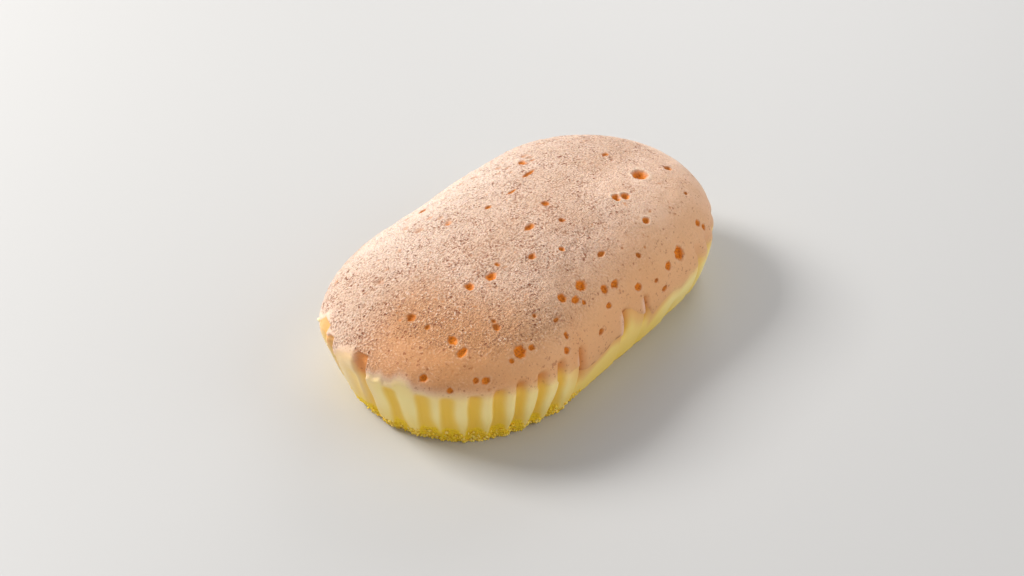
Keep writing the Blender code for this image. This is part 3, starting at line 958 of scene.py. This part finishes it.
def grain_share(mesh, places, crater):
    """How grainy each place is: less on the right side, and not at all in a crater."""
    x, y, _ = places.T
    share = 1 - LESS_GRAIN_RIGHT * ramp(-y, 18 * mm, 34 * mm) * ramp(x, -45 * mm, -5 * mm)
    far_right = ramp(x, -8 * mm, 34 * mm) * ramp(-y, -4 * mm, 16 * mm)
    share = share * (1 - LESS_GRAIN_FAR_RIGHT * far_right)
    return read_value(mesh, "rough") * share * (1 - crater)


def press_skin(mesh, bubbles):
    places = all_points(mesh)
    push, crater, rim, orange = press_craters(places, bubbles)
    grainy = grain_share(mesh, places, crater)
    on_skin = ramp(read_value(mesh, "rise") * mm, 0.0, 4 * mm)
    push += LUMP * noise_at(places, LUMP_SIZE, 11.0) * on_skin
    push += WRINKLE * (noise_at(places, WRINKLE_SIZE, 17.0) - WRINKLE_BIAS) * grainy
    fine = noise_at(places, GRAIN_SIZE / FINE_GRAIN_OF_SIZE, 8.0)
    push += GRAIN * (noise_at(places, GRAIN_SIZE, 5.0) + FINE_GRAIN * fine) * grainy
    moved = places + all_normals(mesh) * push[:, None]
    moved[:, 2] = np.where(places[:, 2] < BASE_BAND, places[:, 2], moved[:, 2])
    mesh.vertices.foreach_set("co", moved.astype(np.float32).ravel())
    for name, kept in (("crater", crater), ("rim", rim), ("orange", orange), ("grainy", grainy)):
        keep_value(mesh, name, kept)


press_skin(cake_mesh, large_bubbles + pits)
cake_mesh.shade_smooth()
cake_mesh.update()
cake = bpy.data.objects.new("steamed_cake", cake_mesh)
bpy.context.scene.collection.objects.link(cake)
print("triangles:", sum(len(face.vertices) - 2 for face in cake_mesh.polygons))

# %% [markdown]
# ## A finish from layers
#
# The finish is one node material. The attributes say what each place is, and short helper
# functions add the nodes that mix the colours, so that the recipe below reads like a list:
# crumb first, then skin over it, then what the folds and craters show.

# %% Colours
def colour(red, green, blue):
    """A colour given as 0 to 255 on screen, turned into the linear values that shaders use."""
    linear = []
    for value in (red, green, blue):
        value /= 255
        linear.append(value / 12.92 if value <= 0.04045 else ((value + 0.055) / 1.055) ** 2.4)
    return (*linear, 1.0)


print("middle grey as a linear value:", round(colour(128, 128, 128)[0], 3))

# %% [markdown]
# A recipe holds one material's nodes. Each of its functions adds a node or a few, feeds them with
# sockets or plain numbers, and returns the socket that carries the result.

# %% Recipe
class Recipe:
    """Adds and links nodes in one material's tree."""

    def __init__(self, material):
        self.nodes = material.node_tree.nodes
        self.links = material.node_tree.links

    def feed(self, socket, value):
        if isinstance(value, bpy.types.NodeSocket):
            self.links.new(value, socket)
        else:
            socket.default_value = value

    def attribute(self, name):
        node = self.nodes.new("ShaderNodeAttribute")
        node.attribute_name = name
        return node.outputs["Fac"]

    def math(self, operation, first, second):
        node = self.nodes.new("ShaderNodeMath")
        node.operation = operation
        self.feed(node.inputs[0], first)
        self.feed(node.inputs[1], second)
        return node.outputs[0]

    def times(self, first, second):
        return self.math("MULTIPLY", first, second)

    def remap(self, value, low, high, new_low=0.0, new_high=1.0):
        node = self.nodes.new("ShaderNodeMapRange")
        node.interpolation_type = "SMOOTHSTEP"
        self.feed(node.inputs["Value"], value)
        limits = {"From Min": low, "From Max": high, "To Min": new_low, "To Max": new_high}
        for name, number in limits.items():
            node.inputs[name].default_value = number
        return node.outputs["Result"]

    def mix(self, kind, share, first, second):
        """A Mix node. It has sockets of every kind under the same names, so the kind picks them."""
        node = self.nodes.new("ShaderNodeMix")
        node.data_type = kind
        wanted = {"RGBA": "RGBA", "FLOAT": "VALUE"}[kind]
        sockets = {socket.name: socket for socket in node.inputs if socket.type == wanted}
        self.feed(node.inputs[0], share)
        self.feed(sockets["A"], first)
        self.feed(sockets["B"], second)
        return next(socket for socket in node.outputs if socket.type == wanted)

    def coat(self, under, over, share, most=1.0):
        """Lays a colour over another one. Most is how far it covers where the share is 1."""
        return self.mix("RGBA", share if most == 1.0 else self.times(share, most), under, over)

    def noise(self, place, size, detail, roughness):
        node = self.nodes.new("ShaderNodeTexNoise")
        self.feed(node.inputs["Vector"], place)
        node.inputs["Scale"].default_value = 1 / size
        node.inputs["Detail"].default_value = detail
        node.inputs["Roughness"].default_value = roughness
        return node.outputs["Fac"]

    def pebbles(self, place, size):
        """A pebbly grain, high on the tops and low in the gaps between them."""
        coarse = self.noise(place, size, 1.0, 0.4)
        fine = self.noise(place, 0.45 * size, 2.0, 0.6)
        return self.math("ADD", self.times(coarse, 0.6), self.times(fine, 0.4))

    def cells(self, place, size):
        """Distance to the nearest of many scattered points."""
        node = self.nodes.new("ShaderNodeTexVoronoi")
        self.feed(node.inputs["Vector"], place)
        node.inputs["Scale"].default_value = 1 / size
        return node.outputs["Distance"]


print("steps of a recipe:", [name for name in vars(Recipe) if not name.startswith("_")])

# %% [markdown]
# ## The bare crumb
#
# Bare crumb is pale where the pleats stood proud and a deeper yellow in the grooves, which is
# partly painted shade, and a deep yellow along the torn foot, where its small holes get painted
# shade. It is creamy left of the near tip, and it blushes brown just under the skin. We start
# with the attributes and noises that several steps need.

# %% What the recipe reads
sponge, surface = new_material("steamed_sponge")
recipe = Recipe(sponge)
place = recipe.nodes.new("ShaderNodeTexCoord").outputs["Object"]
axes = recipe.nodes.new("ShaderNodeSeparateXYZ")
recipe.links.new(place, axes.inputs[0])
low, rise, crisp, torn, warm, crater, grainy = (
    recipe.attribute(name) for name in ("low", "rise", "crisp", "torn", "warm", "crater", "grainy")
)
# Paleness of the skin, partly painted light on the side that faces the key lamp
pale = recipe.times(recipe.attribute("pale"), recipe.remap(warm, 0.5, 0.0))
broad = recipe.noise(place, 14 * mm, 2.0, 0.5)
patches = recipe.noise(place, 5.5 * mm, 2.0, 0.6)
uneven = recipe.noise(place, 4.5 * mm, 3.0, 0.6)
grain = recipe.pebbles(place, 0.62 * mm)
crumble = recipe.noise(place, 0.6 * mm, 3.0, 0.6)
print("nodes at the start:", len(sponge.node_tree.nodes))

# %% Crumb
PALE_CREST, GOLDEN_CREST = colour(252, 229, 156), colour(247, 212, 104)
# The last colour on the next line is the grooves' gold, partly painted shade
CREAM, LOW_GOLD, GROOVE_GOLD_AND_SHADE = colour(240, 214, 166), colour(240, 208, 92), colour(240, 193, 66)
# The last colour on the next line is painted shade for the holes of the torn crumb
BLUSH, TORN_YELLOW, HOLE_SHADE = colour(232, 174, 108), colour(250, 210, 42), colour(204, 150, 20)

# From pale crests to golden grooves: the crumb's yellow, partly painted shade deepening into the grooves
crumb = recipe.coat(PALE_CREST, GOLDEN_CREST, recipe.remap(low, 0.0, 0.8))
crumb = recipe.coat(crumb, CREAM, recipe.attribute("cream"))
crumb = recipe.coat(crumb, LOW_GOLD, recipe.remap(axes.outputs["Z"], 15 * mm, 2 * mm, 0.0, 0.55))
# Deeper gold in the grooves, partly painted shade
crumb = recipe.coat(crumb, GROOVE_GOLD_AND_SHADE, low, 0.85)
crumb = recipe.coat(crumb, BLUSH, recipe.attribute("blush"))
crumb = recipe.coat(crumb, TORN_YELLOW, torn)
# Painted shade in the small holes of the torn crumb, where its bump is low
shade_in_holes = recipe.times(torn, recipe.remap(crumble, 0.50, 0.32))
crumb = recipe.coat(crumb, HOLE_SHADE, shade_in_holes, 0.45)
print("nodes with the crumb:", len(sponge.node_tree.nodes))

# %% [markdown]
# ## The skin
#
# The skin is a light pinkish brown, paler on the side away from us, partly as painted light from
# the key lamp behind, and warmer on the side that shows, with a toasted tan over the near tip.
# Its grain gets a painted highlight on its peaks and painted shade in its gaps, stronger in some
# patches than in others. Where a flap lifts, a painted highlight runs along its edge.

# %% Skin
# The last colour on the next line is the pale skin, partly painted light
LIGHT_SKIN, DARKER_SKIN, PALE_AND_LIT_SKIN = colour(232, 197, 172), colour(222, 184, 156), colour(246, 224, 206)
# The last colour on the next line is a painted highlight for the lifted edges of the flaps
WARM_SKIN, TAN_SKIN, FLAP_EDGE_HIGHLIGHT = colour(227, 168, 112), colour(206, 140, 80), colour(240, 206, 186)
# Painted highlight for the peaks of the grain and painted shade for its gaps
GRAIN_HIGHLIGHT, GRAIN_SHADE = colour(246, 218, 196), colour(162, 108, 80)
# Skin in the grooves: its deeper orange is partly painted shade
SKIN_IN_GROOVE_AND_SHADE = colour(208, 130, 56)

skin = recipe.coat(LIGHT_SKIN, DARKER_SKIN, recipe.remap(broad, 0.35, 0.65))
skin = recipe.coat(skin, PALE_AND_LIT_SKIN, pale, 0.9)
skin = recipe.coat(skin, WARM_SKIN, warm, 0.85)
skin = recipe.coat(skin, TAN_SKIN, recipe.attribute("tan"), 0.8)
# The grain's peaks get a painted highlight and its gaps painted shade, stronger in some patches
peaks = recipe.times(recipe.remap(grain, 0.54, 0.66), recipe.remap(patches, 0.3, 0.7, 0.15, 1.0))
skin = recipe.coat(skin, GRAIN_HIGHLIGHT, recipe.times(peaks, grainy))
calm = recipe.remap(pale, 0.3, 1.0, 1.0, 0.55)
gaps = recipe.times(recipe.remap(grain, 0.56, 0.36), recipe.remap(grainy, 0.0, 1.0, 0.12, 0.88))
gaps = recipe.times(gaps, recipe.remap(patches, 0.35, 0.65, 0.55, 1.1))
skin = recipe.coat(skin, GRAIN_SHADE, recipe.times(gaps, calm))
# Painted highlight along the lifted edge of each flap
skin = recipe.coat(skin, FLAP_EDGE_HIGHLIGHT, recipe.attribute("lip"), 0.6)
# The skin in the grooves of the near end gets a deeper orange, partly painted shade
near_low = recipe.times(low, recipe.remap(axes.outputs["X"], -18 * mm, -30 * mm, 0.25, 0.9))
skin = recipe.coat(skin, SKIN_IN_GROOVE_AND_SHADE, near_low)
print("nodes with the skin:", len(sponge.node_tree.nodes))

# %% [markdown]
# ## Skin over crumb, folds and craters
#
# The skin covers the crumb above the skin line, which wavers a little. Its border is hard where
# the skin ends in a lip, and soft where it fades. Then the pocket and the cracks get their browns,
# the slits get a brown that is partly painted shade, and the craters show orange or brown crumb,
# with a painted highlight on the ring where the rim rises.

# %% Body
# The middle colour on the next line is brown of the skin in the folds, partly painted shade
POCKET, SLIT_COLOUR_AND_SHADE, CRACK = colour(222, 146, 82), colour(206, 124, 46), colour(160, 88, 36)
BROWN_INSIDE, ORANGE_INSIDE = colour(176, 102, 30), colour(226, 128, 0)
# The last colour on the next line is a painted highlight for the raised rims of craters
DARK_INSIDE, SHALLOW_INSIDE, RIM_HIGHLIGHT = colour(152, 76, 4), colour(182, 110, 54), colour(246, 226, 202)
WAVER = 2.5

waver = recipe.times(recipe.math("SUBTRACT", uneven, 0.5), WAVER)
edge = recipe.math("ADD", rise, waver)
skin_share = recipe.mix("FLOAT", crisp, recipe.remap(edge, -2.2, 2.6), recipe.remap(edge, -0.35, 0.35))
body = recipe.coat(crumb, skin, skin_share)
body = recipe.coat(body, POCKET, recipe.attribute("pocket"), 0.9)
# Brown of the skin in the folds, partly painted shade
body = recipe.coat(body, SLIT_COLOUR_AND_SHADE, recipe.attribute("slit"), 0.85)
body = recipe.coat(body, CRACK, recipe.attribute("crack"), 0.75)
inside = recipe.coat(BROWN_INSIDE, ORANGE_INSIDE, recipe.attribute("orange"))
inside = recipe.coat(inside, DARK_INSIDE, recipe.remap(crumble, 0.54, 0.38, 0.0, 0.55))
inside = recipe.coat(inside, SHALLOW_INSIDE, recipe.remap(crater, 0.8, 0.3))
body = recipe.coat(body, inside, crater)
# A painted highlight on the raised rim of the craters
body = recipe.coat(body, RIM_HIGHLIGHT, recipe.attribute("rim"), 0.35)
print("nodes with the craters:", len(sponge.node_tree.nodes))

# %% [markdown]
# ## Dark specks
#
# The skin is dotted with tiny dark pores. Only the highest peaks of a noise become specks, so
# they are small, uneven and scattered. A second, much slower noise lifts or lowers the first,
# and so gathers the specks in some places. A few rounder pores come from scattered points.

# %% Specks
SPECK = colour(150, 80, 40)


def specks(size, gather_size, threshold):
    """1 in the middle of a speck and 0 away from it."""
    peaks = recipe.noise(place, size, 2.0, 0.55)
    gather = recipe.noise(place, gather_size, 1.0, 0.5)
    height = recipe.math("ADD", peaks, recipe.times(gather, 0.35))
    return recipe.remap(height, threshold, threshold + 0.05)


small_specks = recipe.times(specks(0.8 * mm, 6 * mm, 0.85), 0.75)
dots = recipe.math("MAXIMUM", specks(1.3 * mm, 9 * mm, 0.865), small_specks)
pores = recipe.remap(recipe.cells(place, 2.0 * mm), 0.23, 0.12)
dots = recipe.math("MAXIMUM", dots, recipe.times(pores, recipe.remap(patches, 0.48, 0.56)))
on_grain = recipe.times(skin_share, recipe.remap(grainy, 0.0, 1.0, 0.5, 0.9))
dots = recipe.times(recipe.times(dots, calm), on_grain)
body = recipe.coat(body, SPECK, dots)
recipe.links.new(body, surface.inputs["Base Color"])
print("nodes with the specks:", len(sponge.node_tree.nodes))

# %% [markdown]
# ## Fine relief and gloss
#
# What is finer than the mesh becomes a bump: the pebbles on the skin, the crumble on the torn
# foot. Light goes a little way into sponge, so the shader has some subsurface scattering, and
# the skin is dull, with only soft highlights.

# %% Fine relief and gloss
BUMP_DISTANCE = 1.1 * mm
SPONGE_ROUGHNESS, GLOSS = 0.6, 0.3
GLOW, GLOW_COLOURS = 0.12, (1.0, 0.6, 0.3)
SPONGE_GLOW_DEPTH = 1.6 * mm


def dull_glow(surface, roughness, depth):
    """A dull surface that lets light a little way in."""
    surface.inputs["Roughness"].default_value = roughness
    surface.inputs["Specular IOR Level"].default_value = GLOSS
    surface.inputs["Subsurface Weight"].default_value = GLOW
    surface.inputs["Subsurface Scale"].default_value = depth


bump = recipe.nodes.new("ShaderNodeBump")
bump.inputs["Distance"].default_value = BUMP_DISTANCE
bump_share = recipe.math("MAXIMUM", recipe.remap(grainy, 0.0, 1.0, 0.08, 0.95), recipe.times(torn, 0.6))
bump_height = recipe.mix("FLOAT", torn, recipe.math("SUBTRACT", grain, recipe.times(dots, 0.5)), crumble)
recipe.links.new(bump_share, bump.inputs["Strength"])
recipe.links.new(bump_height, bump.inputs["Height"])
recipe.links.new(bump.outputs["Normal"], surface.inputs["Normal"])
dull_glow(surface, SPONGE_ROUGHNESS, SPONGE_GLOW_DEPTH)
surface.inputs["Subsurface Radius"].default_value = GLOW_COLOURS
cake_mesh.materials.append(sponge)
print("nodes in the sponge:", len(sponge.node_tree.nodes))

# %% [markdown]
# ## Torn crumbs
#
# Where the near end stuck to its case the foot tore, and small crumbs cling there. Each one is
# a ball with its points moved by noise, squashed and turned at random. A ray from outside finds
# its place on the wall. Three pale flecks further up are made the same way. All the crumbs
# share one mesh, and a number on each says how pale it is.

# %% One crumb
# How far outside the wall a ray starts, in millimetres
OUTSIDE = 20
CRUMB_ROUGHENING, CRUMB_BUMPS = 0.55, 1.3


def wall_spot(skin, arc, height):
    """The place and direction of the wall at an arc and a height."""
    x, y, out_x, out_y = (float(value) for value in foot_line(np.array(arc)))
    outward = Vector((out_x, out_y, 0.0))
    start = Vector((x - middle[0], y - middle[1], height)) + outward * OUTSIDE * mm
    hit, normal, _, _ = skin.ray_cast(start, -outward)
    return np.array(hit), np.array(normal)


def unit_ball():
    shape = bmesh.new()
    bmesh.ops.create_icosphere(shape, subdivisions=2, radius=1.0)
    ball = np.array([vert.co for vert in shape.verts])
    faces = np.array([[vert.index for vert in face.verts] for face in shape.faces])
    shape.free()
    return ball, faces


def crumb_points(ball, radius, draw):
    """The ball's points, roughened, squashed and turned."""
    shift = Vector((draw.uniform(-50, 50), 0, 0))
    bumps = np.array([noise.noise(Vector(point) * CRUMB_BUMPS + shift) for point in ball])
    squash = np.array([draw.uniform(0.7, 1.3), draw.uniform(0.7, 1.1), draw.uniform(0.5, 0.8)])
    turn = np.array(Euler([draw.uniform(0, math.tau) for _ in range(3)]).to_matrix())
    return (ball * (1 + CRUMB_ROUGHENING * bumps)[:, None] * squash * radius) @ turn.T


ball, ball_faces = unit_ball()
print("faces of one crumb:", len(ball_faces))

# %% All the crumbs
CRUMB_COUNT = 420
CRUMB_FROM, CRUMB_TO = -7 * mm, 62 * mm
CRUMB_FOOT, CRUMB_TOP, CRUMB_CROWDING = 0.2 * mm, 4.2 * mm, 2.2
CRUMB_RADIUS = (0.22 * mm, 0.58 * mm)
CRUMB_LIFT, CRUMB_FLOOR = 0.25, 0.03 * mm
PALEST_CRUMB = 0.3
CRUMB_SEED = 5
# Pale flecks: arc, height and radius in millimetres
FLECKS = ((-25.7, 22.1, 0.75), (-18.7, 19.9, 0.65), (-19.4, 19.0, 0.4))


def crumb_spots(draw):
    """Arc, height, radius and paleness of every crumb, the flecks first."""
    spots = [(arc * mm, height * mm, radius * mm, 1.0) for arc, height, radius in FLECKS]
    for _ in range(CRUMB_COUNT):
        height = CRUMB_TOP * draw.random() ** CRUMB_CROWDING + CRUMB_FOOT
        arc = draw.uniform(CRUMB_FROM, CRUMB_TO)
        radius = draw.uniform(*CRUMB_RADIUS)
        spots.append((arc, height, radius, PALEST_CRUMB * draw.random() ** 2))
    return spots


def make_crumbs():
    draw = random.Random(CRUMB_SEED)
    polygons = [list(face.vertices) for face in cake_mesh.polygons]
    skin = BVHTree.FromPolygons(all_points(cake_mesh).tolist(), polygons)
    points, faces, pale = [], [], []
    for arc, height, radius, paleness in crumb_spots(draw):
        hit, normal = wall_spot(skin, arc, height)
        crumb = crumb_points(ball, radius, draw) + hit + normal * CRUMB_LIFT * radius
        crumb[:, 2] = np.maximum(crumb[:, 2], CRUMB_FLOOR)
        faces.append(ball_faces + len(ball) * len(points))
        points.append(crumb)
        pale.append(np.full(len(ball), paleness))
    mesh = bpy.data.meshes.new("torn_crumbs")
    mesh.from_pydata(np.concatenate(points).tolist(), [], np.concatenate(faces).tolist())
    keep_value(mesh, "paleness", np.concatenate(pale))
    mesh.shade_smooth()
    return mesh


crumb_mesh = make_crumbs()
crumbs = bpy.data.objects.new("torn_crumbs", crumb_mesh)
bpy.context.scene.collection.objects.link(crumbs)
print("crumb triangles:", len(crumb_mesh.polygons))

# %% [markdown]
# The crumbs have their own simple finish, deep yellow to nearly white by their paleness, with
# the same dull glow as the sponge.

# %% Finish of the crumbs
DEEP_CRUMB, WHITE_CRUMB = colour(238, 202, 56), colour(250, 236, 196)
CRUMB_ROUGHNESS, CRUMB_GLOW_DEPTH = 0.7, 0.8 * mm

crumb_stuff, crumb_surface = new_material("torn_crumb")
crumb_recipe = Recipe(crumb_stuff)
crumb_colour = crumb_recipe.coat(DEEP_CRUMB, WHITE_CRUMB, crumb_recipe.attribute("paleness"))
crumb_recipe.links.new(crumb_colour, crumb_surface.inputs["Base Color"])
dull_glow(crumb_surface, CRUMB_ROUGHNESS, CRUMB_GLOW_DEPTH)
crumb_mesh.materials.append(crumb_stuff)
print("crumb materials:", len(crumb_mesh.materials))

# %% [markdown]
# ## Hand over
#
# The woven cake stands for the plain solid and rides with it.

# %% Hand over
for piece in (cake, crumbs):
    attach(piece, "root")
    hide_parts("cake")
bpy.context.view_layer.update()
